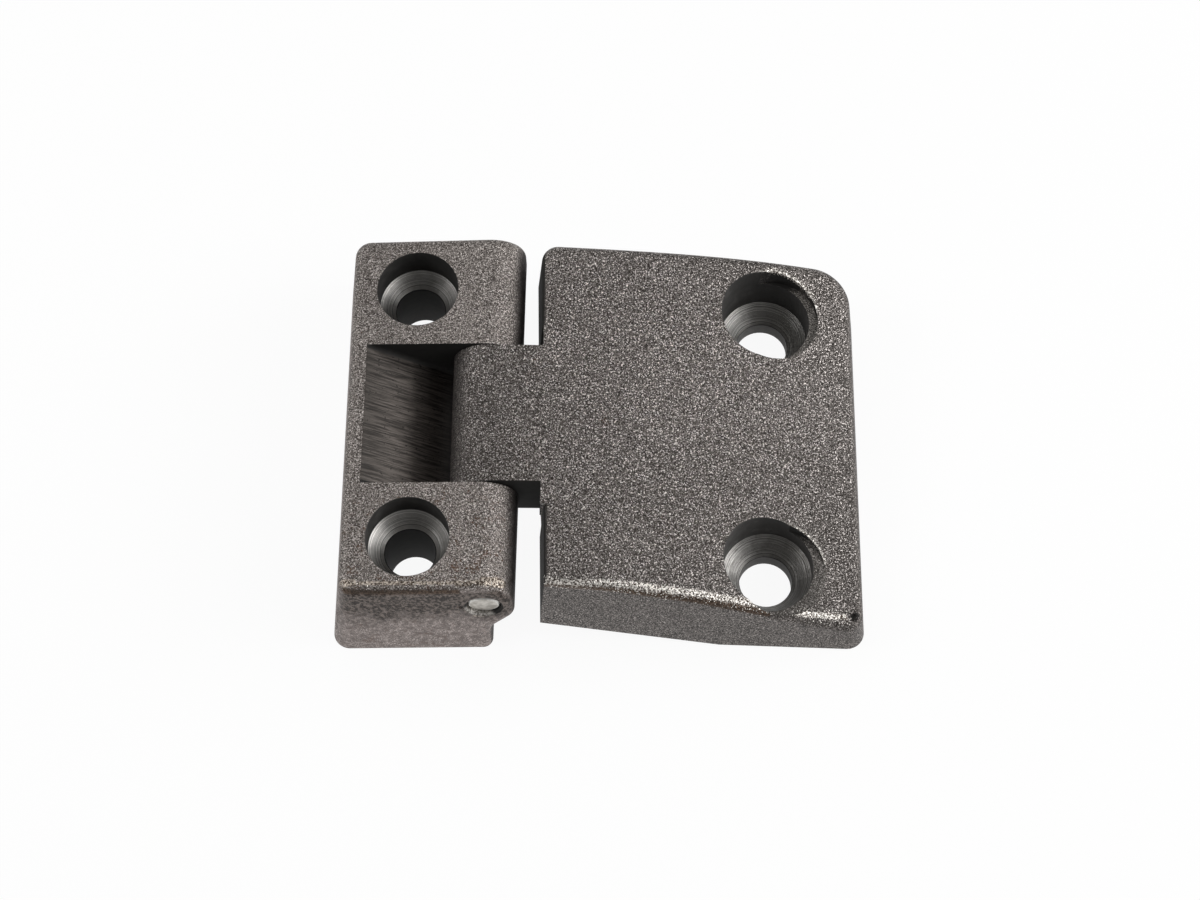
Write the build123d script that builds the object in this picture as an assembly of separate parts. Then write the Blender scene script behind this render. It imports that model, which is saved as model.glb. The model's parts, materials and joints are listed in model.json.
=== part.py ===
from build123d import *
import os
from math import hypot, radians, tan

# Car door hinge: two forged steel leaves that turn on one pressed-in pin.
# Millimetres. The origin is midway between the pillar leaf's screw holes, on its mounting face.
# +X runs towards the door leaf, +Y along the pin, and +Z out of the mounting faces.

# Forging
draft_angle = 7.0

# Pin
pin_diameter = 6.0
pin_axis_x = 13.35
pin_drop = 6.15
pin_recess = 0.45
pin_chamfer = 0.4
pin_mouth_chamfer = 0.4
press_clearance = 0.01
running_clearance = 0.05

# Pillar leaf
pillar_height = 21.7
pillar_top_rise = 2.5
pillar_length = 74.0
pillar_skew = 1.2
pillar_left = -14.2
pillar_foot_right = 14.8
pillar_corner_radius = 3.0
pillar_edge_radius = 1.8
lug_reach = 5.6
lug_lean = 0.6
lug_shoulder_radius = 6.5
lug_heel_radius = 2.8
notch_drop = 4.05
notch_foot_drop = 9.05
notch_radius = 4.0

# Pocket milled between the lugs
pocket_width = 26.9
pocket_centre = -0.45
pocket_left = -8.7
pocket_floor_angle = 37.0
pocket_floor_radius = 0.8

# Screw holes of the pillar leaf
pillar_screw_spacing = 48.2
pillar_hole_diameter = 9.0
pillar_head_diameter = 14.7
upper_seat_depth = 9.4
lower_seat_depth = 8.2
seat_angle = 90.0

# Stake mark beside the pin's front end
stake_offset = 4.2
stake_radius = 0.9
stake_depth = 0.3

# Door leaf
tongue_side_clearance = 0.2
knuckle_radius = 6.7
neck_drop = 5.85
leaf_gap = 2.7
door_left_draft = 4.0
door_right = 80.8
door_width = 71.0
door_centre = -0.3
door_front_skew = 1.5
door_back_skew = 2.0
door_left_lean = 1.4
door_right_lean = 0.4
door_back_left_radius = 3.0
door_front_right_radius = 3.2
door_back_right_radius = 7.0
door_edge_radius = 1.8
door_brow_x = 30.0
door_crease_x = 55.0
door_crease_drop = 4.2
door_crease_tilt = 4.0
door_end_drop = 11.8
door_end_tilt = 4.2
door_foot_left = 55.0
door_heel_height = 6.6
relief_width = 4.2
relief_setback = 1.3

# Screw holes of the door leaf
door_screw_spacing = 46.8
door_screw_centre = -1.6
door_screw_x = 63.3
door_hole_diameter = 9.5
door_head_diameter = 16.2
door_hole_land = 3.2
recess_radius = 8.4
upper_recess_x = 1.3
upper_recess_y = 0.0
upper_recess_drop = 8.2
lower_recess_x = 1.9
lower_recess_y = -1.0
lower_recess_drop = 11.7

# Pit in the door leaf's front right corner
pit_x = 78.6
pit_y = -33.4
pit_z = 8.0
pit_radius = 0.8

# Derived places
pin_radius = pin_diameter / 2
pin_axis_z = pillar_height - pin_drop
lug_right = pin_axis_x + lug_reach
tongue_width = pocket_width - 2 * tongue_side_clearance
tongue_low = pocket_centre - tongue_width / 2
tongue_high = pocket_centre + tongue_width / 2
door_left = lug_right + leaf_gap

# Lengths that let cutters run past a face, and the least upward tilt of a top face's normal
overlap = 2.0
beyond = door_right + door_width
upward = 0.8


def slope(angle):
    return tan(radians(angle))


def forged_prism(left, right, low, high, pivot_x, skews, leans, left_draft):
    """A drafted block; the skews turn its front and back ends, and the leans its left and right sides."""

    def corner(x, y, skew, lean):
        return (x - y * slope(lean), y + (x - pivot_x) * slope(skew))

    def section(z):
        x_low, x_high = left + z * slope(left_draft), right - z * slope(draft_angle)
        y_low, y_high = low + z * slope(draft_angle), high - z * slope(draft_angle)
        front = [corner(x_low, y_low, skews[0], leans[0]), corner(x_high, y_low, skews[0], leans[1])]
        back = [corner(x_high, y_high, skews[1], leans[1]), corner(x_low, y_high, skews[1], leans[0])]
        return Pos(0, 0, z) * make_face(Polyline(*front, *back, close=True))

    return loft([section(0), section(2 * pillar_height)], ruled=True)


def across_plane(y):
    return Plane((0, y, 0), x_dir=(1, 0, 0), z_dir=(0, -1, 0))


def across(points, radii, y_low, y_high):
    outline = FilletPolyline(*points, radius=radii, close=True)
    return extrude(across_plane(y_high) * make_face(outline), amount=y_high - y_low)


def rod(radius, y_low, y_high):
    middle = Pos(pin_axis_x, (y_low + y_high) / 2, pin_axis_z)
    return middle * Rot(90, 0, 0) * Cylinder(radius, y_high - y_low)


def box_between(low, high):
    size = [b - a for a, b in zip(low, high)]
    return Pos(*low) * Box(*size, align=(Align.MIN, Align.MIN, Align.MIN))


def upright_edges(body):
    """The corner edges that climb from the mounting face."""
    return [edge for edge in body.edges() if abs((edge @ 1 - edge @ 0).Z) > pillar_height]


def rim_edges(body):
    """The outer edges of a body's upward faces."""
    tops = [face for face in body.faces() if face.normal_at(face.center()).Z > upward]
    edges = [edge for face in tops for edge in face.edges()]
    return [edge for edge in edges if edges.count(edge) == 1]


def screw_cutter(x, y, hole_diameter, head_diameter, land_top):
    hole, head = hole_diameter / 2, head_diameter / 2
    seat_top = land_top + (head - hole) / slope(seat_angle / 2)
    points = [(0, -overlap), (hole, -overlap), (hole, land_top), (head, seat_top), (head, beyond), (0, beyond)]
    half = make_face(Polyline(*points, close=True))
    return Pos(x, y, 0) * revolve(Plane.XZ * half, axis=Axis.Z)


def pillar_top(x):
    return pillar_height + x * slope(pillar_top_rise)


def pillar_end(side, x, z):
    """The place along the pin of the pillar leaf's front (-1) or back (1) end face."""
    return side * (pillar_length / 2 - z * slope(draft_angle)) + x * slope(pillar_skew)


def pillar_body():
    half = pillar_length / 2
    skews = (pillar_skew, pillar_skew)
    prism = forged_prism(pillar_left, beyond, -half, half, 0, skews, (0, 0), draft_angle)
    corners = [e for e in upright_edges(prism) if e.center().X < 0]
    prism = fillet(corners, pillar_corner_radius)
    profile = [
        (-beyond, 0),
        (pillar_foot_right, 0),
        (pillar_foot_right, pin_axis_z - notch_foot_drop),
        (lug_right, pin_axis_z - notch_drop),
        (lug_right, pillar_top(lug_right)),
        (-beyond, pillar_top(-beyond)),
    ]
    radii = (0, 0, notch_radius, lug_heel_radius, lug_shoulder_radius, 0)
    outline = across(profile, radii, -pillar_length, pillar_length)
    body = prism & Pos(lug_right, 0, 0) * Rot(0, 0, -lug_lean) * Pos(-lug_right, 0, 0) * outline
    top = body.faces().filter_by(GeomType.PLANE).sort_by(Axis.Z)[-1]
    rim = [edge for edge in top.edges() if edge.center().X < pin_axis_x - 2 * pillar_edge_radius]
    return fillet(rim, pillar_edge_radius)


def pocket_cutter():
    def floor_at(x):
        return pillar_top(pocket_left) - (x - pocket_left) * slope(pocket_floor_angle)

    left = pocket_left - overlap
    points = [(left, floor_at(left)), (beyond, floor_at(beyond)), (beyond, beyond), (left, beyond)]
    low = pocket_centre - pocket_width / 2
    cutter = across(points, (0, 0, 0, 0), low, low + pocket_width)
    floor_edges = [edge for edge in upright_edges(cutter) if edge.center().Z < 0]
    return fillet(floor_edges, pocket_floor_radius)


def make_pillar_leaf():
    body = pillar_body() - pocket_cutter()
    seats = ((1, upper_seat_depth), (-1, lower_seat_depth))
    for side, depth in seats:
        y = side * pillar_screw_spacing / 2
        land = pillar_height - depth
        body -= screw_cutter(0, y, pillar_hole_diameter, pillar_head_diameter, land)
    body -= rod(pin_radius + press_clearance, -beyond, beyond)
    body = chamfer(pin_mouths(body), pin_mouth_chamfer)
    return body - stake_mark()


def pin_mouths(body):
    """The rims of the pin's bore in the lugs' outer end faces."""
    centres = [(edge, edge.center(CenterOf.MASS)) for edge in body.edges() if edge.is_closed]
    rims = [edge for edge, c in centres if hypot(c.X - pin_axis_x, c.Z - pin_axis_z) < pin_radius]
    rims = ShapeList(rims).sort_by(Axis.Y)
    return [rims[0], rims[-1]]


def stake_mark():
    x = pin_axis_x - stake_offset
    y = pillar_end(-1, x, pin_axis_z) - stake_radius + stake_depth
    return Pos(x, y, pin_axis_z) * Sphere(stake_radius)


def door_side(y):
    """The door leaf's long section at one place across its width, wide enough to trim."""

    def lean(angle):
        return (y - door_centre) * slope(angle)

    crease = pillar_height - door_crease_drop + lean(door_crease_tilt)
    end = pillar_height - door_end_drop + lean(door_end_tilt)
    past_end = door_right + overlap
    fall = (crease - end) / (door_right - door_crease_x)
    top = Spline(
        (pin_axis_x, pin_axis_z + knuckle_radius),
        (door_brow_x, pillar_height),
        (door_crease_x, crease),
        (past_end, end - overlap * fall),
    )
    under = Polyline(
        top @ 1,
        (past_end, 0),
        (door_foot_left, 0),
        (door_left, door_heel_height),
        (pin_axis_x, door_heel_height),
        top @ 0,
    )
    return across_plane(y) * make_face(top + under)


def door_body():
    low, high = door_centre - door_width / 2, door_centre + door_width / 2
    middle = (door_left + door_right) / 2
    skews = (-door_front_skew, -door_back_skew)
    leans = (door_left_lean, door_right_lean)
    prism = forged_prism(door_left, door_right, low, high, middle, skews, leans, door_left_draft)
    corners = (
        (-1, 1, door_back_left_radius),
        (1, -1, door_front_right_radius),
        (1, 1, door_back_right_radius),
    )
    for x_side, y_side, radius in corners:
        on_side = [e for e in upright_edges(prism) if x_side * (e.center().X - middle) > 0]
        prism = fillet([e for e in on_side if y_side * (e.center().Y - door_centre) > 0], radius)
    slab = loft([door_side(low - overlap), door_side(high + overlap)], ruled=True)
    plate = prism & slab
    plate = fillet(rim_edges(plate), door_edge_radius)
    neck_low = pin_axis_z - neck_drop
    neck_start = (pin_axis_x, tongue_low - relief_width, neck_low)
    neck = box_between(neck_start, (door_brow_x, tongue_high + relief_width, beyond))
    knuckle = rod(knuckle_radius, tongue_low, tongue_high)
    return plate - neck + (neck & slab) + knuckle


def make_door_leaf():
    body = door_body()
    upper_recess = (1, upper_recess_x, upper_recess_y, upper_recess_drop)
    lower_recess = (-1, lower_recess_x, lower_recess_y, lower_recess_drop)
    recess = Cylinder(recess_radius, beyond, align=(Align.CENTER, Align.CENTER, Align.MIN))
    for side, shift_x, shift_y, drop in (upper_recess, lower_recess):
        y = door_screw_centre + side * door_screw_spacing / 2
        body -= screw_cutter(door_screw_x, y, door_hole_diameter, door_head_diameter, door_hole_land)
        body -= Pos(door_screw_x + shift_x, y + shift_y, pillar_height - drop) * recess
    body -= Pos(pit_x, pit_y, pit_z) * Sphere(pit_radius)
    body -= rod(pin_radius + running_clearance, -beyond, beyond)
    relief_x = door_left + relief_setback
    for low, high in ((tongue_low - relief_width, tongue_low), (tongue_high, tongue_high + relief_width)):
        body -= box_between((pin_axis_x, low, -overlap), (relief_x, high, beyond))
    return body


def make_hinge_pin():
    front, back = [pillar_end(side, pin_axis_x, pin_axis_z) - side * pin_recess for side in (-1, 1)]
    pin = rod(pin_radius, front, back)
    return chamfer(pin.edges().filter_by(GeomType.CIRCLE), pin_chamfer)


if __name__ == "__main__":
    os.makedirs("parts", exist_ok=True)
    export_step(make_pillar_leaf(), "parts/pillar_leaf.step")
    export_step(make_door_leaf(), "parts/door_leaf.step")
    export_step(make_hinge_pin(), "parts/hinge_pin.step")
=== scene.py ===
# %% [markdown]
# A car door hinge: two forged steel leaves that turn on one pin. The solids arrive finished from CAD, so
# this lesson is about their surfaces: shot-blasted skin, turned screw seats, a milled pocket, worn edges and
# the first rust. Every pattern reads Object coordinates, so it sits on the steel and not on the picture.

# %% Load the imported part
import bpy
import json
import math
from collections import namedtuple
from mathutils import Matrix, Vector


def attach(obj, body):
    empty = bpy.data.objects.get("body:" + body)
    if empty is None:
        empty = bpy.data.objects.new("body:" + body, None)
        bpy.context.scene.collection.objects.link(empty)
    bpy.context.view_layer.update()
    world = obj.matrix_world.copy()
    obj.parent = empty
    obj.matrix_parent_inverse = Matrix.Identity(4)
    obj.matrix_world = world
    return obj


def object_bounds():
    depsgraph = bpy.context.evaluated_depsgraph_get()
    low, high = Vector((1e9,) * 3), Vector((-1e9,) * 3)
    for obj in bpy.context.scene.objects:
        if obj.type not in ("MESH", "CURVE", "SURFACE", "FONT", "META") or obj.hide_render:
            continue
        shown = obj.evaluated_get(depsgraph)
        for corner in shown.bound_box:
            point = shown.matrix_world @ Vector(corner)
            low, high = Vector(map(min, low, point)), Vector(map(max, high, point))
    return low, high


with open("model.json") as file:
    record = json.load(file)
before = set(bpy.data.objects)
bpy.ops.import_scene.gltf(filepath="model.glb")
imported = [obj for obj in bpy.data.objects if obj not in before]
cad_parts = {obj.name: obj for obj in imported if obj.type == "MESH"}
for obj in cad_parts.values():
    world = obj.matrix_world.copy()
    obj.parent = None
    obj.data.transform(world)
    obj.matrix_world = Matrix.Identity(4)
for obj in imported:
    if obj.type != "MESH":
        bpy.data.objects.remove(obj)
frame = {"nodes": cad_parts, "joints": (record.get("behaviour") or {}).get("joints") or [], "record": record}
cad_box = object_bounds()
MM = 0.001
HAIR = 0.01 * MM

# %% [markdown]
# The places that the finishes need come from the record: the screw holes are mounts, and the pin is the axis
# of the one joint. What the record doesn't hold is written here once. A mask reaches a few hairs past the
# faces that it covers, so its border never runs along one of them.

# %% Places on the hinge
record = frame["record"]
mounts = {mount["name"]: mount for mount in record["mounts"]}
pin_axis = Vector(frame["joints"][0]["pos_m"])


def mm(x, y, z):
    return Vector((x, y, z)) * MM


def hole_centres(mount_name):
    """The screw axes of one leaf, front hole first."""
    mount = mounts[mount_name]
    step = mount["dims"]["spacing_y_mm"] * MM / 2
    return [Vector(mount["pos_m"]) + Vector((0, side * step, 0)) for side in (-1, 1)]


pillar_holes = hole_centres("pillar_screws")
door_holes = hole_centres("door_screws")
pillar_seat = {"head": 7.35 * MM, "hole": 4.5 * MM, "bore_shade": 1.0,
               "wall_shade": (0.88, 0.95), "polish_and_sheen": (1.0, 0.6)}
door_seat = {"head": 8.1 * MM, "hole": 4.75 * MM, "bore_shade": 0.75,
             "wall_shade": (0.80, 0.92), "polish_and_sheen": (0.4, 1.0)}
recess_radius = 8.4 * MM
recess_centres = (door_holes[0] + mm(1.9, -1.0, 10.0), door_holes[1] + mm(1.3, 0, 13.5))
pocket_middle_y = -0.45 * MM
pocket_half_width = 13.45 * MM
pocket_left_x = -8.7 * MM
pocket_left_z = 21.32 * MM
pocket_floor_fall = math.tan(math.radians(37))
tongue_half_width = 13.25 * MM
relief_x = 22.95 * MM
gap_start_x = 12 * MM
corner_pit = mm(78.6, -33.4, 8.0)
print("screw holes", pillar_holes + door_holes)

# %% [markdown]
# Shader trees get long, so small helpers do the typing: one adds a node and fills or links its inputs, some
# do sums, and one turns a range of values into a soft mask from 0 to 1.

# %% Node helpers
def fill(tree, socket, value):
    """Link an input to another node's output, or set its value."""
    if isinstance(value, bpy.types.NodeSocket):
        tree.links.new(value, socket)
    else:
        socket.default_value = value


def add(tree, kind, inputs=None, **settings):
    made = tree.nodes.new(kind)
    for name, value in settings.items():
        setattr(made, name, value)
    for key, value in (inputs or {}).items():
        fill(tree, made.inputs[key], value)
    return made


def sums(tree, operation, *values):
    return add(tree, "ShaderNodeMath", dict(enumerate(values)), operation=operation).outputs[0]


def times(tree, *values):
    product = values[0]
    for value in values[1:]:
        product = sums(tree, "MULTIPLY", product, value)
    return product


def opposite(tree, mask):
    return sums(tree, "SUBTRACT", 1.0, mask)


def soft_step(tree, value, start, end):
    inputs = {"Value": value, "From Min": start, "From Max": end}
    return add(tree, "ShaderNodeMapRange", inputs, interpolation_type="SMOOTHSTEP").outputs["Result"]


def window(tree, value, low, high, soft):
    rise = soft_step(tree, value, low - soft, low + soft)
    return times(tree, rise, opposite(tree, soft_step(tree, value, high - soft, high + soft)))


def blend(tree, factor, first, second):
    """A mix of two colours, each a socket or three numbers; 6, 7 and 2 are the node's colour sockets."""
    made = add(tree, "ShaderNodeMix", {0: factor}, data_type="RGBA")
    for place, value in ((6, first), (7, second)):
        fill(tree, made.inputs[place], value if isinstance(value, bpy.types.NodeSocket) else (*value, 1))
    return made.outputs[2]


def between(tree, factor, first, second):
    """A mix of two numbers."""
    return add(tree, "ShaderNodeMix", {0: factor, 2: first, 3: second}).outputs[0]


def noise(tree, position, size, detail=2.0, roughness=0.55):
    """Cloudy noise from 0 to 1; size is its scale in metres, a number or a socket."""
    scale = sums(tree, "DIVIDE", 1.0, size) if isinstance(size, bpy.types.NodeSocket) else 1 / size
    inputs = {"Vector": position, "Scale": scale, "Detail": detail, "Roughness": roughness}
    return add(tree, "ShaderNodeTexNoise", inputs).outputs["Fac"]


# %% [markdown]
# The same for vectors, where most sums ask how far a place is from a point or an axis.

# %% Vector helpers
def vectors(tree, operation, *values, out="Vector"):
    return add(tree, "ShaderNodeVectorMath", dict(enumerate(values)), operation=operation).outputs[out]


def axes(tree, vector):
    return add(tree, "ShaderNodeSeparateXYZ", {0: vector}).outputs


def dot(tree, first, second):
    return vectors(tree, "DOT_PRODUCT", first, second, out="Value")


def length(tree, vector):
    return vectors(tree, "LENGTH", vector, out="Value")


def flattened(tree, vector):
    """The vector without its height."""
    return vectors(tree, "MULTIPLY", vector, (1, 1, 0))


def from_pin(tree, position):
    """The distance from the pin's axis, which runs along Y."""
    return length(tree, vectors(tree, "MULTIPLY", vectors(tree, "SUBTRACT", position, pin_axis), (1, 0, 1)))


# %% [markdown]
# A pattern that several materials share is a shader node group. These two helpers make one with its sockets
# and put it to use.

# %% Group helpers
def start_group(name, inputs, outputs):
    """A new shader node group; inputs are (name, kind, value) and outputs are (name, kind)."""
    tree = bpy.data.node_groups.new(name, "ShaderNodeTree")
    for label, kind, value in inputs:
        socket = tree.interface.new_socket(label, in_out="INPUT", socket_type="NodeSocket" + kind)
        if value is not None:
            socket.default_value = value
    for label, kind in outputs:
        tree.interface.new_socket(label, in_out="OUTPUT", socket_type="NodeSocket" + kind)
    return tree, tree.nodes.new("NodeGroupInput").outputs, tree.nodes.new("NodeGroupOutput").inputs


def use_group(tree, group, **inputs):
    made = tree.nodes.new("ShaderNodeGroup")
    made.node_tree = group
    for key, value in inputs.items():
        fill(tree, made.inputs[key.capitalize()], value)
    return made.outputs


# %% [markdown]
# Shot blasting leaves a skin of tiny overlapping dents. A coarse and a fine noise make it: their sum is the
# height and the tone, and its highest points are specks of bare metal that catch the light, painted bright as
# a glint. Both leaves use the group, each with its own grain size.

# %% Blasted skin group
def make_blast_group():
    tree, given, result = start_group(
        "blasted_skin",
        [("Position", "Vector", None), ("Grain", "Float", 0.45 * MM)],
        [("Height", "Float"), ("Tone", "Float"), ("Glint_specks", "Float")],
    )
    dents = noise(tree, given["Position"], given["Grain"], 2.0, 0.6)
    fine = noise(tree, given["Position"], times(tree, given["Grain"], 0.6), 1.0, 0.5)
    both = sums(tree, "MULTIPLY_ADD", fine, 0.5, times(tree, dents, 0.5))
    tree.links.new(both, result["Height"])
    tree.links.new(soft_step(tree, both, 0.40, 0.62), result["Tone"])
    tree.links.new(soft_step(tree, both, 0.56, 0.63), result["Glint_specks"])
    return tree


blast_group = make_blast_group()
print(blast_group.name, "has", len(blast_group.nodes), "nodes")

# %% [markdown]
# A countersink cutter leaves fine rings about the screw's axis. The group gives a mask of everything inside
# the head's radius, masks of the upright wall above the cone and the bore below it, the ring pattern, which
# reads the distance from the axis and wanders a little, and a painted sheen, a highlight that is strongest on
# the cone's left.

# %% Turned seat group
def make_turned_group():
    tree, given, result = start_group(
        "turned_seat",
        [("Position", "Vector", None), ("Centre", "Vector", (0, 0, 0)), ("Head", "Float", 7 * MM),
         ("Hole", "Float", 4.5 * MM)],
        [("Mask", "Float"), ("Wall", "Float"), ("Bore", "Float"), ("Rings", "Float"), ("Sheen", "Float")],
    )
    from_axis = flattened(tree, vectors(tree, "SUBTRACT", given["Position"], given["Centre"]))
    distance = length(tree, from_axis)
    spoke = vectors(tree, "NORMALIZE", from_axis)
    leftward = dot(tree, spoke, (-0.98, -0.2, 0))
    sectors = sums(tree, "MULTIPLY_ADD", noise(tree, spoke, 0.4, 2.0), 0.9, -0.45)
    sheen = soft_step(tree, sums(tree, "ADD", leftward, sectors), -0.7, 0.9)
    mask = sums(tree, "LESS_THAN", distance, sums(tree, "ADD", given["Head"], 5 * HAIR))
    outer = sums(tree, "GREATER_THAN", distance, sums(tree, "SUBTRACT", given["Head"], 10 * HAIR))
    inner = sums(tree, "LESS_THAN", distance, sums(tree, "ADD", given["Hole"], 10 * HAIR))
    wander = noise(tree, given["Position"], 3.0 * MM)
    steps = sums(tree, "MULTIPLY_ADD", wander, 0.25 * MM, distance)
    ring_place = add(tree, "ShaderNodeCombineXYZ", {0: steps}).outputs[0]
    rings = noise(tree, ring_place, 0.16 * MM, 2.0, 0.7)
    outputs = {"Mask": mask, "Wall": outer, "Bore": inner, "Rings": rings, "Sheen": sheen}
    for label, value in outputs.items():
        tree.links.new(value, result[label])
    return tree


turned_group = make_turned_group()
print(turned_group.name, "has", len(turned_group.nodes), "nodes")

# %% [markdown]
# Handling polishes the raised edges and blasting rounds them bright; along the front edges the lines also
# carry a painted highlight. Each line is a mask around a straight stretch of edge, ragged with noise. It
# measures the distance to the nearest point of that stretch.

# %% Worn line group
def make_worn_group():
    tree, given, result = start_group(
        "worn_line",
        [("Position", "Vector", None), ("Start", "Vector", (0, 0, 0)), ("End", "Vector", (1, 0, 0)),
         ("Width", "Float", 1.5 * MM)],
        [("Mask", "Float")],
    )
    from_start = vectors(tree, "SUBTRACT", given["Position"], given["Start"])
    run = vectors(tree, "SUBTRACT", given["End"], given["Start"])
    along = sums(tree, "DIVIDE", dot(tree, from_start, run), dot(tree, run, run))
    share = add(tree, "ShaderNodeClamp", {0: along}).outputs[0]
    nearest = add(tree, "ShaderNodeVectorMath", {0: run, "Scale": share}, operation="SCALE").outputs[0]
    distance = length(tree, vectors(tree, "SUBTRACT", from_start, nearest))
    near = opposite(tree, soft_step(tree, sums(tree, "DIVIDE", distance, given["Width"]), 0.3, 1.0))
    ragged = noise(tree, given["Position"], 0.9 * MM, 3.0, 0.7)
    reach = sums(tree, "ADD", near, sums(tree, "MULTIPLY_ADD", ragged, 1.6, -0.8))
    tree.links.new(times(tree, near, soft_step(tree, reach, 0.3, 0.7)), result["Mask"])
    return tree


wear_and_light_group = make_worn_group()
print(wear_and_light_group.name, "has", len(wear_and_light_group.nodes), "nodes")

# %% [markdown]
# Bare steel starts to rust in specks. Two noises add up: a broad one chooses the patches and a fine one
# breaks them into grains.

# %% Rust group
rust_dark, rust_light = (0.03, 0.016, 0.011), (0.15, 0.085, 0.055)


def make_rust_group():
    tree, given, result = start_group(
        "rust_specks",
        [("Position", "Vector", None), ("Amount", "Float", 0.3), ("Patch", "Float", 6.0 * MM)],
        [("Mask", "Float"), ("Colour", "Color")],
    )
    patches = noise(tree, given["Position"], given["Patch"], 3.0, 0.6)
    specks = noise(tree, given["Position"], 0.42 * MM, 2.0, 0.6)
    joined = sums(tree, "MULTIPLY_ADD", patches, 0.5, times(tree, specks, 0.5))
    start = sums(tree, "SUBTRACT", 0.66, times(tree, given["Amount"], 0.22))
    mask = soft_step(tree, joined, start, sums(tree, "ADD", start, 0.08))
    tint = noise(tree, given["Position"], 0.8 * MM)
    tree.links.new(mask, result["Mask"])
    tree.links.new(blend(tree, tint, rust_dark, rust_light), result["Colour"])
    return tree


rust_group = make_rust_group()
print(rust_group.name, "has", len(rust_group.nodes), "nodes")

# %% [markdown]
# A finish is four things: a colour, a height for the bump, a roughness and how metallic it is. Each leaf
# starts as blasted skin, and the other finishes are laid over it one by one, each through its own mask.
# Walls in holes, pockets and gaps are painted black as shade, and the same dark finish stains the pit; it is
# barely metallic, so it doesn't mirror the white floor.

# %% Finishes
Finish = namedtuple("Finish", "colour height roughness metallic")
glint_speck_white = (0.97, 0.90, 0.865)
groove, crest = Vector((0.22, 0.213, 0.203)), Vector((1.0, 0.972, 0.932))
stain, cone_shade_grey = (0.12, 0.11, 0.10), (0.10, 0.096, 0.09)
cutter_dark, cutter_light = (0.026, 0.0225, 0.020), (0.109, 0.095, 0.0853)
near_black, dark_grey = (0.006, 0.0055, 0.005), (0.024, 0.022, 0.020)
shade = (0.015, 0.0135, 0.012)


def lay(tree, mask, under, over):
    """One finish over another, where the mask is 1."""
    values = [between(tree, mask, a, b) for a, b in zip(under[1:], over[1:])]
    return Finish(blend(tree, mask, under.colour, over.colour), *values)


def recoloured(finish, colour):
    return finish._replace(colour=colour)


def dimmed(tree, finish, share):
    return recoloured(finish, blend(tree, share, finish.colour, shade))


def blasted(tree, position, grain, dark, light, glint_specks):
    skin = use_group(tree, blast_group, position=position, grain=grain)
    clouds = soft_step(tree, noise(tree, position, 14 * MM, 2.0), 0.3, 0.7)
    tone = times(tree, skin["Tone"], between(tree, clouds, 0.86, 1.0))
    # Bright specks of bare metal, painted near white as a glint.
    bright = times(tree, skin["Glint_specks"], glint_specks)
    colour = blend(tree, bright, blend(tree, tone, dark, light), glint_speck_white)
    return Finish(colour, skin["Height"], roughness=between(tree, bright, 0.5, 0.36), metallic=0.9)


def turned(tree, position, seat, polish_and_sheen):
    """Cutter rings, from dim at 0 to bright at 1, a level that is partly the cone's finish and partly painted
    sheen.
    """
    rings = seat["Rings"]
    level = 0.5 + 0.5 * polish_and_sheen
    colour = blend(tree, soft_step(tree, rings, 0.36, 0.64), tuple(groove * level), tuple(crest * level))
    stains = soft_step(tree, noise(tree, position, 1.6 * MM, 4.0, 0.7), 0.45, 0.7)
    colour = blend(tree, times(tree, stains, 0.6 - 0.4 * polish_and_sheen), colour, stain)
    # The cone away from the painted sheen is painted darker as shade.
    cone_painted_shade = times(tree, opposite(tree, seat["Sheen"]), 0.62)
    colour = blend(tree, cone_painted_shade, colour, cone_shade_grey)
    return Finish(colour, times(tree, rings, 0.4), roughness=0.36, metallic=0.95)


def milled(tree, position):
    """Cutter lines along the pocket: noise stretched along X, with a few dark pits."""
    stretch = add(tree, "ShaderNodeMapping", {"Vector": position, "Scale": (0.05, 1, 0.05)}).outputs[0]
    marks = noise(tree, stretch, 0.3 * MM, 3.0, 0.65)
    colour = blend(tree, soft_step(tree, marks, 0.34, 0.66), cutter_dark, cutter_light)
    pits = soft_step(tree, noise(tree, position, 0.7 * MM, 1.0), 0.68, 0.74)
    colour = blend(tree, times(tree, pits, 0.7), colour, near_black)
    return Finish(colour, times(tree, marks, 0.3), roughness=0.45, metallic=0.8)


# Painted shade on walls in holes, pockets and gaps, and a dark stain in and round the pit.
def shade_and_stain_steel(tree, position):
    cloud = noise(tree, position, 1.5 * MM)
    colour = blend(tree, cloud, near_black, dark_grey)
    return Finish(colour, times(tree, cloud, 0.1), roughness=0.8, metallic=0.15)


# %% [markdown]
# Rust, worn edges with their painted highlights and shadows, and screw seats with their painted shade and
# sheen lie over a leaf wherever their groups say, so each has a function that takes a finish and gives it
# back with one more layer.

# %% Layers
worn_dark, worn_bright = (0.062, 0.046, 0.036), (0.95, 0.91, 0.855)
brown_of_scale_and_shadow = (0.13, 0.094, 0.072)


def with_rust(tree, finish, rust, strength):
    return recoloured(finish, blend(tree, times(tree, rust["Mask"], strength), finish.colour, rust["Colour"]))


def with_wear_and_light_lines(tree, position, finish, lines, bright):
    """Bright grit and dark scale along each stretch of edge, given as (start, end, width in millimetres); on
    the front edges the grit also paints a highlight and the scale a shadow.
    """
    worn = 0.0
    for start, end, width in lines:
        line = use_group(tree, wear_and_light_group, position=position, start=start, end=end, width=width * MM)
        worn = sums(tree, "MAXIMUM", worn, line["Mask"])
    grit = noise(tree, position, 0.36 * MM, 2.0, 0.65)
    colour = blend(tree, soft_step(tree, grit, 0.42, 0.60), worn_dark, bright)
    return lay(tree, worn, finish, Finish(colour, grit, roughness=0.36, metallic=0.95))


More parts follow.
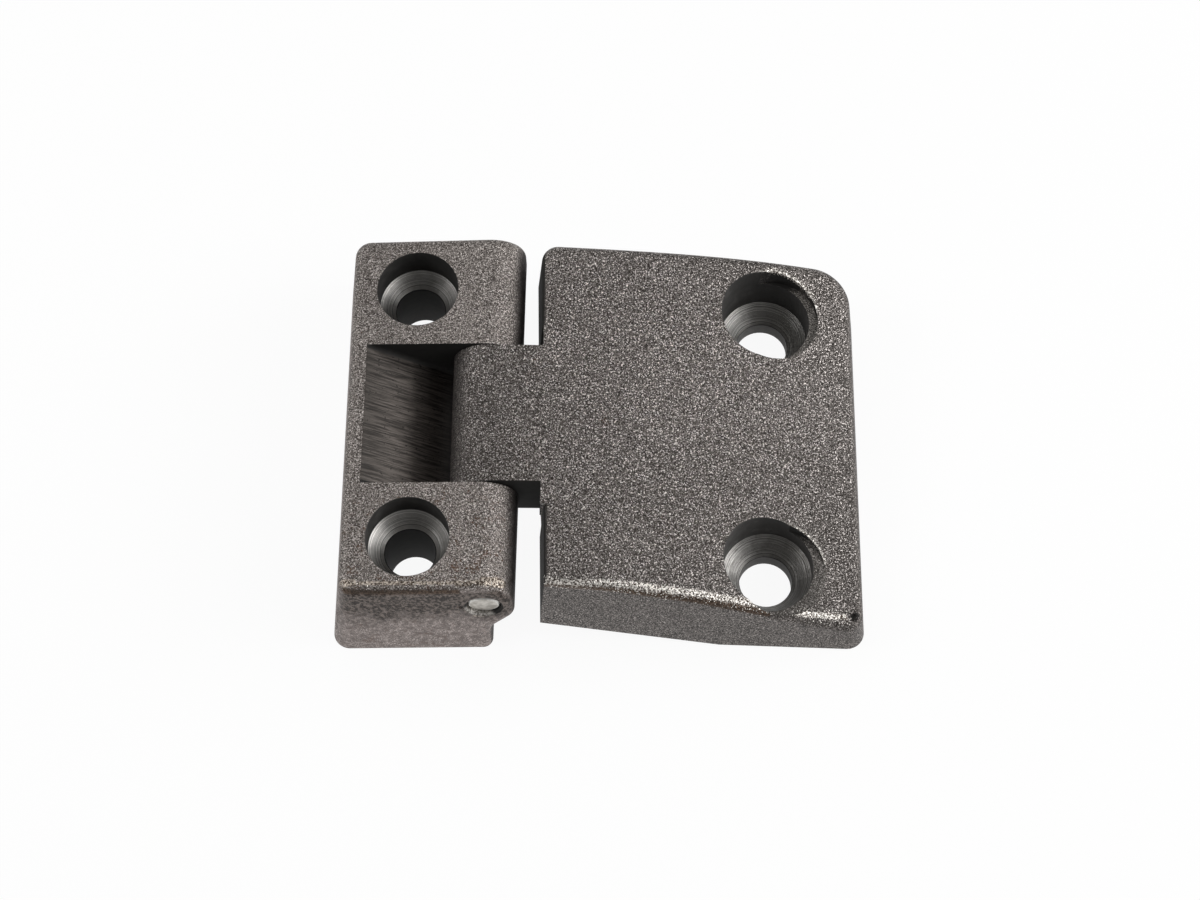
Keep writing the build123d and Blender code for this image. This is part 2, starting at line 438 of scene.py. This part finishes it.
def with_seats(tree, position, finish, holes, seats):
    """Turned cones in a leaf's screw holes, with walls above them and bores below painted black as shade."""
    for centre, polish_and_sheen, wall_shade in zip(holes, seats["polish_and_sheen"], seats["wall_shade"]):
        seat = use_group(tree, turned_group, position=position, centre=centre,
                         head=seats["head"], hole=seats["hole"])
        # The walls and bores are painted black as shade, by each hole's share.
        black_wall = times(tree, seat["Wall"], wall_shade)
        black = sums(tree, "MAXIMUM", black_wall, times(tree, seat["Bore"], seats["bore_shade"]))
        machined = lay(tree, black, turned(tree, position, seat, polish_and_sheen), shade_and_stain_steel(tree, position))
        finish = lay(tree, seat["Mask"], finish, machined)
    return finish


# %% [markdown]
# The masks come next. Most read the place alone: a pocket is what lies above its sloping floor and between
# its two sides. Side faces are told from top faces by the normal in object space, which turns with the leaf.

# %% Masks on both leaves
def side_mask(tree, normal, full, none):
    """Steep faces: 1 where the normal's height is `full` or less, 0 where it is `none` or more."""
    return opposite(tree, soft_step(tree, axes(tree, normal)["Z"], full, none))


def underside_mask(tree, position):
    return sums(tree, "LESS_THAN", axes(tree, position)["Z"], 3 * HAIR)


def from_middle(tree, y):
    return sums(tree, "ABSOLUTE", sums(tree, "SUBTRACT", y, pocket_middle_y))


# %% Masks on the pillar leaf
def pocket_mask(tree, position):
    """The sloping pocket between the lugs and its two side walls."""
    x, y, z = axes(tree, position)
    inside = sums(tree, "LESS_THAN", from_middle(tree, y), pocket_half_width + 2 * HAIR)
    right_of = sums(tree, "GREATER_THAN", x, pocket_left_x - 2 * HAIR)
    run = sums(tree, "SUBTRACT", x, pocket_left_x)
    floor_height = sums(tree, "MULTIPLY_ADD", run, -pocket_floor_fall, pocket_left_z - 8 * HAIR)
    return times(tree, inside, right_of, sums(tree, "GREATER_THAN", z, floor_height))


def pocket_side_mask(tree, position):
    y = axes(tree, position)["Y"]
    return soft_step(tree, from_middle(tree, y), pocket_half_width - 0.9 * MM, pocket_half_width - 0.4 * MM)


def lug_end_mask(tree, position, normal):
    """The lugs' faces towards the gap, below their rounded shoulders."""
    right_facing = soft_step(tree, axes(tree, normal)["X"], 0.72, 0.97)
    return times(tree, right_facing, sums(tree, "GREATER_THAN", axes(tree, position)["X"], gap_start_x))


def front_mask(tree, normal):
    return soft_step(tree, times(tree, axes(tree, normal)["Y"], -1.0), 0.45, 0.8)


def pin_mouth_mask(tree, position):
    """The chamfered mouths of the pin's bore in the lugs' ends."""
    return opposite(tree, soft_step(tree, from_pin(tree, position), 3.3 * MM, 3.5 * MM))


# %% Masks on the door leaf
def gap_mask(tree, position, normal):
    """The tongue's flat sides and the door leaf's left side, which all face the gap."""
    x, y, _ = axes(tree, position)
    outside = sums(tree, "GREATER_THAN", from_middle(tree, y), tongue_half_width - 3 * HAIR)
    left_of = sums(tree, "LESS_THAN", x, relief_x + 3 * HAIR)
    left_facing = soft_step(tree, times(tree, axes(tree, normal)["X"], -1.0), 0.6, 0.9)
    left_side = times(tree, left_facing, sums(tree, "GREATER_THAN", x, gap_start_x))
    return sums(tree, "MAXIMUM", times(tree, outside, left_of), left_side)


def pit_mask(tree, position):
    """The small pit at the front right corner: its hollow and a ragged stain, both cut off in front."""
    distance = vectors(tree, "DISTANCE", position, corner_pit, out="Value")
    ragged = soft_step(tree, noise(tree, position, 1.1 * MM, 3.0), 0.42, 0.5)
    hollow = opposite(tree, soft_step(tree, distance, 0.75 * MM, 0.86 * MM))
    around = times(tree, ragged, opposite(tree, soft_step(tree, distance, 1.0 * MM, 1.5 * MM)))
    back = sums(tree, "SUBTRACT", axes(tree, position)["Y"], corner_pit.y)
    wander = sums(tree, "MULTIPLY_ADD", noise(tree, position, 0.6 * MM), 0.9 * MM, -0.6 * MM)
    behind = soft_step(tree, sums(tree, "SUBTRACT", back, wander), -0.1 * MM, 0.1 * MM)
    return times(tree, sums(tree, "MAXIMUM", hollow, around), behind)


def recess_masks(tree, position, normal, centre):
    """The recess's upright wall, painted as shade that deepens towards the back right, its floor, and the
    bright rim at its back right on the leaf's top.
    """
    back_right, back = (0.5, 0.866, 0), (-0.34, 0.94, 0)
    from_axis = vectors(tree, "SUBTRACT", position, centre)
    flat = flattened(tree, from_axis)
    distance = length(tree, flat)
    direction = dot(tree, vectors(tree, "NORMALIZE", flat), back_right)
    height = axes(tree, from_axis)["Z"]
    above = sums(tree, "GREATER_THAN", height, 6 * HAIR)
    level = window(tree, height, -0.2 * MM, 0.2 * MM, 2 * HAIR)
    floor = times(tree, level, sums(tree, "LESS_THAN", distance, recess_radius))
    ledge = soft_step(tree, dot(tree, flat, back), 4 * MM, 6 * MM)
    inner = sums(tree, "SUBTRACT", recess_radius - 10 * HAIR, times(tree, ledge, 1.2 * MM))
    past_inner = soft_step(tree, sums(tree, "SUBTRACT", distance, inner), 0.0, 0.3 * MM)
    wall = times(tree, past_inner, sums(tree, "LESS_THAN", distance, recess_radius + 6 * HAIR))
    # The wall is painted shade, darker towards the back right, reaching onto the ledge at the back as a
    # painted shadow.
    painted_shade_depth = between(tree, soft_step(tree, direction, 0.5, 0.95), 0.25, 1.0)
    wall = times(tree, wall, sums(tree, "MAXIMUM", above, ledge), painted_shade_depth)
    rim = window(tree, distance, recess_radius - 10 * HAIR, recess_radius + 0.4 * MM, 0.15 * MM)
    facing_up = soft_step(tree, axes(tree, normal)["Z"], 0.5, 0.8)
    return wall, floor, times(tree, rim, soft_step(tree, direction, 0.5, 0.85), above, facing_up)


# %% [markdown]
# A material starts with the place and the normal that its patterns read. It ends when a finish is linked to
# its shader.

# %% Material helpers
def start_material(name):
    material = bpy.data.materials.new(name)
    material.use_nodes = True
    tree = material.node_tree
    places = add(tree, "ShaderNodeTexCoord").outputs
    return material, tree, tree.nodes["Principled BSDF"], places["Object"], places["Normal"]


def finish_material(tree, surface, finish, bump):
    relief = add(tree, "ShaderNodeBump", {"Height": finish.height, "Distance": bump, "Strength": 1.0})
    tree.links.new(finish.colour, surface.inputs["Base Color"])
    tree.links.new(finish.roughness, surface.inputs["Roughness"])
    tree.links.new(finish.metallic, surface.inputs["Metallic"])
    tree.links.new(relief.outputs[0], surface.inputs["Normal"])


# %% [markdown]
# The pillar leaf is finer grained, browner and rusty towards its front. Dark scale with a painted shadow
# hangs under its worn front edge, which carries a painted highlight, and the metal is upset round the pin
# where it was staked, with a painted glint.

# %% Pillar leaf material
pillar_top = (0.060, 0.0515, 0.0465), (0.425, 0.385, 0.358)
pillar_side = (0.060, 0.050, 0.046), (0.51, 0.442, 0.415)
side_stain, front_pale = (0.05, 0.036, 0.030), (0.60, 0.52, 0.49)
scale_shadow_pale, scale_shadow_deep = (0.20, 0.165, 0.145), (0.014, 0.010, 0.008)
brown_of_wear_and_highlight = (0.52, 0.455, 0.39)
staked_glint_dark, staked_glint_light = (0.16, 0.145, 0.13), (0.62, 0.59, 0.55)
# Worn grit with a painted highlight along the front edge, and one nick low on the front.
pillar_wear_and_highlight = [
    (mm(-11.5, -32.7, 21.1), mm(-9.0, -32.7, 21.2), 1.1),
    (mm(-9.0, -32.75, 21.3), mm(9.0, -32.75, 21.9), 0.6),
    (mm(9.0, -32.9, 21.9), mm(13.5, -32.7, 22.1), 0.9),
    (mm(13.5, -32.4, 22.1), mm(16.8, -32.2, 20.5), 1.5),
    (mm(11.6, -35.2, 12.4), mm(13.0, -35.3, 12.2), 0.5),
]
# Brown scale with a painted shadow under the edge.
pillar_shadow_scale = [(mm(-11.5, -33.85, 20.4), mm(9.0, -33.85, 21.0), 1.0)]


def pillar_skin(tree, position, normal):
    x, y, _ = axes(tree, position)
    top = blasted(tree, position, 0.29 * MM, *pillar_top, glint_specks=0.65)
    # The top is painted darker towards the left, as shade.
    pillar_left_shade = times(tree, opposite(tree, soft_step(tree, x, -8 * MM, 12 * MM)), 0.16)
    top = dimmed(tree, top, pillar_left_shade)
    sides = blasted(tree, position, 0.30 * MM, *pillar_side, glint_specks=0.2)
    mottle = soft_step(tree, noise(tree, position, 1.2 * MM, 5.0, 0.75), 0.45, 0.60)
    sides = recoloured(sides, blend(tree, times(tree, mottle, 0.75), sides.colour, side_stain))
    finish = lay(tree, side_mask(tree, normal, full=0.25, none=0.7), top, sides)
    forward = soft_step(tree, times(tree, y, -1.0), 4 * MM, 22 * MM)
    amount = between(tree, forward, 0.2, 0.52)
    rust = use_group(tree, rust_group, position=position, amount=amount, patch=2.4 * MM)
    return with_rust(tree, finish, rust, strength=0.75)


def with_front(tree, position, normal, finish):
    """The front: pale at the bottom, crusted above with scale and painted shadow, with a worn edge and a line
    of scale and painted shadow below it.
    """
    z = axes(tree, position)["Z"]
    front = front_mask(tree, normal)
    pale = recoloured(finish, blend(tree, 0.15, finish.colour, front_pale))
    finish = lay(tree, front, finish, pale)
    wandering = sums(tree, "MULTIPLY_ADD", noise(tree, position, 3.5 * MM, 4.0, 0.7), 14 * MM, z)
    above_low = soft_step(tree, wandering, 14.5 * MM, 22.5 * MM)
    below_edge = times(tree, above_low, opposite(tree, soft_step(tree, z, 20.5 * MM, 21.3 * MM)))
    ragged = soft_step(tree, noise(tree, position, 0.6 * MM, 3.0, 0.7), 0.36, 0.58)
    # A crust of brown scale with a painted shadow, darkest under the edge.
    band_of_scale_and_shadow = recoloured(finish, blend(tree, ragged, scale_shadow_pale, scale_shadow_deep))
    finish = lay(tree, times(tree, front, below_edge, 0.9), finish, band_of_scale_and_shadow)
    finish = with_wear_and_light_lines(tree, position, finish, pillar_wear_and_highlight, brown_of_wear_and_highlight)
    return with_wear_and_light_lines(tree, position, finish, pillar_shadow_scale, brown_of_scale_and_shadow)


def pocket_finish(tree, position):
    """Cutter lines, with painted shade dimming the left end and painted black shade on the side walls and
    deep under the knuckle.
    """
    x = axes(tree, position)["X"]
    deep = soft_step(tree, x, 3.5 * MM, 7.5 * MM)
    black = sums(tree, "MAXIMUM", pocket_side_mask(tree, position), deep)
    pocket_left_shade = times(tree, opposite(tree, soft_step(tree, x, -9 * MM, 0.0)), 0.45)
    return lay(tree, black, dimmed(tree, milled(tree, position), pocket_left_shade), shade_and_stain_steel(tree, position))


def with_pin_mouths(tree, position, finish):
    """Mouths round the pin's ends painted black as shade, with raised staked metal and a painted glint in
    their lower left.
    """
    x, _, z = axes(tree, position)
    mouth = pin_mouth_mask(tree, position)
    finish = lay(tree, mouth, finish, shade_and_stain_steel(tree, position))
    down_left = sums(tree, "MULTIPLY_ADD", x, -0.5, times(tree, z, -1.0))
    lower = soft_step(tree, down_left, -20.8 * MM, -19.6 * MM)
    flakes = noise(tree, position, 0.5 * MM, 3.0, 0.7)
    staked_metal_and_glint = blend(tree, soft_step(tree, flakes, 0.4, 0.65), staked_glint_dark, staked_glint_light)
    return lay(tree, times(tree, mouth, lower), finish, Finish(staked_metal_and_glint, flakes, roughness=0.4, metallic=0.9))


def pillar_material():
    material, tree, surface, position, normal = start_material("pillar_blasted_steel")
    finish = with_front(tree, position, normal, pillar_skin(tree, position, normal))
    finish = lay(tree, pocket_mask(tree, position), finish, pocket_finish(tree, position))
    # The lugs' faces towards the gap are painted dark as shade.
    lug_end_shade = times(tree, lug_end_mask(tree, position, normal), 0.8)
    finish = lay(tree, lug_end_shade, finish, shade_and_stain_steel(tree, position))
    finish = with_pin_mouths(tree, position, finish)
    finish = with_seats(tree, position, finish, pillar_holes, pillar_seat)
    finish = lay(tree, underside_mask(tree, position), finish, milled(tree, position))
    finish_material(tree, surface, finish, bump=0.2 * MM)
    return material


pillar_steel = pillar_material()
print(pillar_steel.name, "has", len(pillar_steel.node_tree.nodes), "nodes")

# %% [markdown]
# The door leaf is coarser and cleaner. Its front edge is bright with wear and a painted highlight, with a
# line of brown scale and painted shadow below it, and a smoother recess with a ragged rim lies beside each
# screw hole.

# %% Door leaf material
door_top = (0.034, 0.0298, 0.027), (0.310, 0.282, 0.264)
door_side = (0.030, 0.0265, 0.0245), (0.258, 0.234, 0.219)
recess_dark = (0.045, 0.041, 0.037)
# The upper recess's floor has the lighter tone, painted light that lifts the shade in it.
recess_floor_painted_light = (0.185, 0.172, 0.16), (0.40, 0.374, 0.346)
# Worn grit with a painted highlight along the front edge; the last two lines are nicks.
door_wear_and_highlight = [
    (mm(23.4, -31.9, 21.4), mm(36, -32.2, 20.3), 1.4),
    (mm(36, -32.2, 20.3), mm(50, -32.5, 17.0), 1.4),
    (mm(50, -32.5, 17.0), mm(63, -33.1, 12.5), 1.3),
    (mm(68, -33.7, 10.7), mm(77, -33.4, 8.2), 0.8),
    (mm(63.9, 30.3, 15.2), mm(64.1, 30.3, 16.8), 0.5),
    (mm(23.4, -17.4, 21.9), mm(23.5, -19.5, 21.6), 0.35),
]
below = mm(0, -1.0, -0.5)
# Brown scale with a painted shadow under the first three lines.
door_shadow_scale = [(start + below, end + below, 1.15) for start, end, _ in door_wear_and_highlight[:3]]


def door_skin(tree, position, normal):
    """Blasted skin with painted shade that dims it a little towards the front, the right and the pin."""
    x, y, _ = axes(tree, position)
    top = blasted(tree, position, 0.32 * MM, *door_top, glint_specks=1.0)
    side = side_mask(tree, normal, full=0.5, none=0.9)
    finish = lay(tree, side, top, blasted(tree, position, 0.30 * MM, *door_side, glint_specks=0.3))
    towards_front = times(tree, opposite(tree, soft_step(tree, y, -32 * MM, 22 * MM)), 0.24)
    towards_right = times(tree, soft_step(tree, x, 36 * MM, 72 * MM), 0.14)
    near_pin = times(tree, opposite(tree, soft_step(tree, x, 12 * MM, 26 * MM)), 0.22)
    door_painted_shade = sums(tree, "ADD", sums(tree, "ADD", towards_front, towards_right), near_pin)
    finish = dimmed(tree, finish, times(tree, door_painted_shade, opposite(tree, side)))
    rust = use_group(tree, rust_group, position=position, amount=0.1)
    return with_rust(tree, finish, rust, strength=0.6)


def with_recess(tree, position, normal, finish, centre, light):
    """One recess: a smoother floor in a given light tone, a wall painted black as shade and a ragged bright
    rim.
    """
    wall, floor, rim = recess_masks(tree, position, normal, centre)
    smooth = blasted(tree, position, 0.24 * MM, recess_dark, light, glint_specks=0.3)
    finish = lay(tree, floor, finish, smooth)
    finish = lay(tree, wall, finish, shade_and_stain_steel(tree, position))
    ragged = soft_step(tree, noise(tree, position, 0.4 * MM, 3.0, 0.7), 0.4, 0.58)
    burr = blend(tree, ragged, worn_dark, worn_bright)
    return lay(tree, rim, finish, Finish(burr, ragged, roughness=0.36, metallic=0.95))


def door_material():
    material, tree, surface, position, normal = start_material("door_blasted_steel")
    finish = door_skin(tree, position, normal)
    finish = with_wear_and_light_lines(tree, position, finish, door_wear_and_highlight, worn_bright)
    finish = with_wear_and_light_lines(tree, position, finish, door_shadow_scale, brown_of_scale_and_shadow)
    for centre, light in zip(recess_centres, recess_floor_painted_light):
        finish = with_recess(tree, position, normal, finish, centre, light)
    # The pit gets a dark stain with painted shade, and the faces towards the gap are painted dark as shade.
    for mask in (pit_mask(tree, position), gap_mask(tree, position, normal)):
        finish = lay(tree, mask, finish, shade_and_stain_steel(tree, position))
    finish = with_seats(tree, position, finish, door_holes, door_seat)
    finish = lay(tree, underside_mask(tree, position), finish, milled(tree, position))
    finish_material(tree, surface, finish, bump=0.25 * MM)
    return material


door_steel = door_material()
print(door_steel.name, "has", len(door_steel.node_tree.nodes), "nodes")

# %% [markdown]
# The pin's ends are cut flat and stained, with a bright burr round the rim where they were staked. Its shank
# is black.

# %% Pin material
pin_dark, pin_light, pin_burr = (0.36, 0.34, 0.305), (0.60, 0.575, 0.53), (0.72, 0.71, 0.68)


def pin_material():
    material, tree, surface, position, _ = start_material("pin_steel")
    stains = noise(tree, position, 1.2 * MM, 4.0, 0.65)
    colour = blend(tree, soft_step(tree, stains, 0.35, 0.65), pin_dark, pin_light)
    distance = from_pin(tree, position)
    rim = window(tree, distance, 2.45 * MM, 2.85 * MM, 0.12 * MM)
    colour = blend(tree, times(tree, rim, soft_step(tree, stains, 0.3, 0.6)), colour, pin_burr)
    end_face = sums(tree, "LESS_THAN", distance, 2.95 * MM)
    colour = blend(tree, end_face, near_black, colour)
    finish = Finish(colour, stains, roughness=between(tree, stains, 0.35, 0.5), metallic=end_face)
    finish_material(tree, surface, finish, bump=0.05 * MM)
    return material


node_materials = {"pillar_leaf": pillar_steel, "door_leaf": door_steel, "hinge_pin": pin_material()}
for node, material in node_materials.items():
    slots = frame["nodes"][node].material_slots
    for slot in slots:
        slot.material = material
    print(node, "has", len(slots), "material slot with", material.name)

# %% [markdown]
# Crumbs of scale cling to the front edges, and a ragged burr stands round the back of both recesses. They
# lie along a path on a surface, so Geometry Nodes make them: points are strewn over the whole leaf, those far
# from the path are deleted, and a small faceted crumb takes the place of each one that is left. The object's
# own mesh is the path.

# %% Crumb tree
def random_between(tree, kind, low, high, seed):
    """A random number or vector for each point; the two kinds have their own sockets on the node."""
    first = 0 if kind == "FLOAT_VECTOR" else 2
    made = add(tree, "FunctionNodeRandomValue", {first: low, first + 1: high, "Seed": seed}, data_type=kind)
    return made.outputs[0 if kind == "FLOAT_VECTOR" else 1]


def make_crumb_tree():
    tree = bpy.data.node_groups.new("edge_crumbs", "GeometryNodeTree")
    face = tree.interface
    face.new_socket("Path", in_out="INPUT", socket_type="NodeSocketGeometry")
    for label, kind in (("Surface", "Object"), ("Reach", "Float"), ("Density", "Float"), ("Size", "Float"),
                        ("Seed", "Int"), ("Material", "Material")):
        face.new_socket(label, in_out="INPUT", socket_type="NodeSocket" + kind)
    face.new_socket("Crumbs", in_out="OUTPUT", socket_type="NodeSocketGeometry")
    given = tree.nodes.new("NodeGroupInput").outputs
    leaf = add(tree, "GeometryNodeObjectInfo", {"Object": given["Surface"]}).outputs["Geometry"]
    strewn = add(tree, "GeometryNodeDistributePointsOnFaces",
                 {"Mesh": leaf, "Density": given["Density"], "Seed": given["Seed"]}).outputs
    place = add(tree, "GeometryNodeInputPosition").outputs[0]
    distance = add(tree, "GeometryNodeProximity", {0: given["Path"], "Sample Position": place},
                   target_element="EDGES").outputs["Distance"]
    allowed = times(tree, given["Reach"], random_between(tree, "FLOAT", 0.1, 1.0, given["Seed"]))
    far = add(tree, "FunctionNodeCompare", {0: distance, 1: allowed}, operation="GREATER_THAN").outputs[0]
    near = add(tree, "GeometryNodeDeleteGeometry", {"Geometry": strewn["Points"], "Selection": far})
    crumb = add(tree, "GeometryNodeMeshIcoSphere", {"Radius": given["Size"], "Subdivisions": 1}).outputs[0]
    stretch = random_between(tree, "FLOAT_VECTOR", (0.6, 0.5, 0.3), (1.5, 1.1, 0.8), given["Seed"])
    spots = {"Points": near.outputs[0], "Instance": crumb, "Rotation": strewn["Rotation"], "Scale": stretch}
    placed = add(tree, "GeometryNodeInstanceOnPoints", spots)
    real = add(tree, "GeometryNodeRealizeInstances", {0: placed.outputs[0]})
    dressed = add(tree, "GeometryNodeSetMaterial", {0: real.outputs[0], "Material": given["Material"]})
    tree.links.new(dressed.outputs[0], tree.nodes.new("NodeGroupOutput").inputs[0])
    return tree


crumb_tree = make_crumb_tree()
print("crumb tree has", len(crumb_tree.nodes), "nodes")

# %% [markdown]
# The crumbs are bare steel broken through brown scale, so their colour jumps from crumb to crumb.

# %% Crumb material
crumb_dark = (0.05, 0.035, 0.026)


def crumb_material():
    material, tree, surface, position, _ = start_material("scale_crumbs")
    tint = soft_step(tree, noise(tree, position, 0.35 * MM, 1.0), 0.38, 0.62)
    colour = blend(tree, tint, crumb_dark, worn_bright)
    finish = Finish(colour, tint, roughness=between(tree, tint, 0.6, 0.35),
                    metallic=between(tree, tint, 0.5, 0.95))
    finish_material(tree, surface, finish, bump=0.02 * MM)
    return material


crumb_steel = crumb_material()
print(crumb_steel.name, "has", len(crumb_steel.node_tree.nodes), "nodes")

# %% [markdown]
# Each path follows an edge. The paths round the recesses are arcs, set down on the leaf's top by a ray from
# above, because that top slopes and twists.

# %% Strew the crumbs
faces_per_crumb = 20


def crumb_piece(name, node, paths, body, slot, **values):
    points = [point for path in paths for point in path]
    starts = [sum(len(path) for path in paths[:i]) for i in range(len(paths))]
    edges = [(s + i, s + i + 1) for s, path in zip(starts, paths) for i in range(len(path) - 1)]
    mesh = bpy.data.meshes.new(name)
    mesh.from_pydata(points, edges, [])
    piece = bpy.data.objects.new(name, mesh)
    bpy.context.scene.collection.objects.link(piece)
    modifier = piece.modifiers.new("crumbs", "NODES")
    modifier.node_group = crumb_tree
    values.update(surface=frame["nodes"][node], material=crumb_steel)
    for socket in crumb_tree.interface.items_tree:
        if socket.name.lower() in values:
            modifier[socket.identifier] = values[socket.name.lower()]
    made = bpy.data.meshes.new_from_object(piece.evaluated_get(bpy.context.evaluated_depsgraph_get()))
    piece.modifiers.remove(modifier)
    piece.data = made
    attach(piece, body)
    print(name, "has", len(made.polygons) // faces_per_crumb, "crumbs")


def rim_arc(centre, start, end, steps=12):
    """Points round a recess's rim between two angles in degrees, set down on the door leaf's top."""
    points = []
    for step in range(steps + 1):
        angle = math.radians(start + (end - start) * step / steps)
        above = centre + Vector((math.cos(angle), math.sin(angle), 0)) * (recess_radius + 10 * HAIR)
        above.z = cad_box[1].z + 1 * MM
        hit, place, _, _ = frame["nodes"]["door_leaf"].ray_cast(above, Vector((0, 0, -1)))
        if hit:
            points.append(place)
    return points


pillar_edge = [mm(-11.5, -33.0, 21.1), mm(13.5, -32.9, 22.1), mm(16.8, -32.2, 20.5)]
door_edge = [mm(23.4, -32.2, 21.2), mm(36, -32.5, 20.2), mm(50, -32.8, 16.9), mm(63, -33.4, 12.4)]
door_edge_right = [mm(68, -33.7, 10.7), mm(77, -33.5, 8.2)]
upper_rim = rim_arc(recess_centres[1], 34, 92)
lower_rim = rim_arc(recess_centres[0], 15, 65)
crumb_piece("pillar_edge_crumbs", "pillar_leaf", [pillar_edge], "pillar", "pillar_steel",
            reach=1.3 * MM, density=3e6, size=0.11 * MM, seed=4)
crumb_piece("door_edge_crumbs", "door_leaf", [door_edge, door_edge_right], "door", "door_steel",
            reach=1.7 * MM, density=9e6, size=0.12 * MM, seed=7)
crumb_piece("upper_recess_burr", "door_leaf", [upper_rim], "door", "door_steel",
            reach=0.9 * MM, density=40e6, size=0.15 * MM, seed=2)
crumb_piece("lower_recess_burr", "door_leaf", [lower_rim], "door", "door_steel",
            reach=0.5 * MM, density=25e6, size=0.10 * MM, seed=3)

# %% [markdown]
# The studio: a pale floor that is white to the camera and in reflections but keeps a soft shadow, one soft
# box on the left, two on the right and a dim one overhead. The level is plain, so colours come out as they
# are written.

# %% Studio
def make_floor():
    reach, drop, white_share = 1.5, 0.05 * MM, 0.93
    mesh = bpy.data.meshes.new("studio_floor")
    corners = [(-reach, -reach, 0), (reach, -reach, 0), (reach, reach, 0), (-reach, reach, 0)]
    mesh.from_pydata(corners, [], [(0, 1, 2, 3)])
    floor = bpy.data.objects.new("studio_floor", mesh)
    floor.location.z = -drop
    bpy.context.scene.collection.objects.link(floor)
    material, tree, surface, *_ = start_material("floor_paper")
    surface.inputs["Base Color"].default_value = (0.9, 0.9, 0.9, 1)
    surface.inputs["Roughness"].default_value = 0.9
    white = add(tree, "ShaderNodeEmission", {"Color": (1, 1, 1, 1), "Strength": 1.0})
    path = add(tree, "ShaderNodeLightPath").outputs
    mirrored = sums(tree, "MAXIMUM", path["Is Glossy Ray"], path["Is Transmission Ray"])
    seen = sums(tree, "MAXIMUM", path["Is Camera Ray"], mirrored)
    share = times(tree, seen, white_share)
    mixed = add(tree, "ShaderNodeMixShader", {0: share, 1: surface.outputs[0], 2: white.outputs[0]})
    tree.links.new(mixed.outputs[0], tree.nodes["Material Output"].inputs["Surface"])
    mesh.materials.append(material)


def soft_box(name, place, size, strength):
    """An area lamp aimed at the middle of the hinge; strength is its brightness, whatever its size."""
    lamp = bpy.data.lights.new(name, "AREA")
    lamp.shape = "RECTANGLE"
    lamp.size, lamp.size_y = size
    lamp.energy = strength * math.pi * size[0] * size[1]
    item = bpy.data.objects.new(name, lamp)
    item.location = place
    aim = (cad_box[0] + cad_box[1]) / 2 - Vector(place)
    item.rotation_euler = aim.to_track_quat("-Z", "Y").to_euler()
    bpy.context.scene.collection.objects.link(item)
    print(name, "stands", round(aim.length, 2), "m away")


def make_world():
    world = bpy.data.worlds.new("studio")
    world.use_nodes = True
    tree = world.node_tree
    path = add(tree, "ShaderNodeLightPath").outputs
    level = blend(tree, path["Is Camera Ray"], (0.25, 0.25, 0.25), (1, 1, 1))
    tree.links.new(level, tree.nodes["Background"].inputs["Color"])
    bpy.context.scene.world = world


make_floor()
make_world()
soft_box("left_box", (-0.58, 0.0, 0.52), (0.4, 0.34), 5.4)
soft_box("right_box", (0.62, -0.10, 0.52), (0.4, 0.34), 4.0)
soft_box("low_right_box", (0.72, 0.08, 0.34), (0.5, 0.26), 6.6)
soft_box("top_box", (-0.15, 0.42, 0.62), (0.5, 0.45), 1.4)

# %% [markdown]
# The camera was found from the photograph by matching corners and screw holes: it looks down steeply from
# the front, a little to the right of straight. The lens is given in pixels of a 1200 by 900 picture.

# %% Camera
photo_width = 1200
focal_pixels = 2504.6
look_at = mm(33.321, -7.442, 21.7)
look_down = math.radians(66.435)
look_left = math.radians(0.558)
look_distance = 441.157 * MM
level_run = math.cos(look_down)
forward = Vector((-math.sin(look_left) * level_run, math.cos(look_left) * level_run, -math.sin(look_down)))
camera_data = bpy.data.cameras.new("photo_camera")
camera_data.lens = focal_pixels / photo_width * camera_data.sensor_width
camera_data.clip_start = 0.01
camera = bpy.data.objects.new("photo_camera", camera_data)
camera.location = look_at - forward * look_distance
camera.rotation_euler = forward.to_track_quat("-Z", "Y").to_euler()
bpy.context.scene.collection.objects.link(camera)
bpy.context.scene.camera = camera
bpy.context.scene.view_settings.view_transform = "Standard"
print("camera at", camera.location, "with a lens of", round(camera_data.lens, 1), "mm")
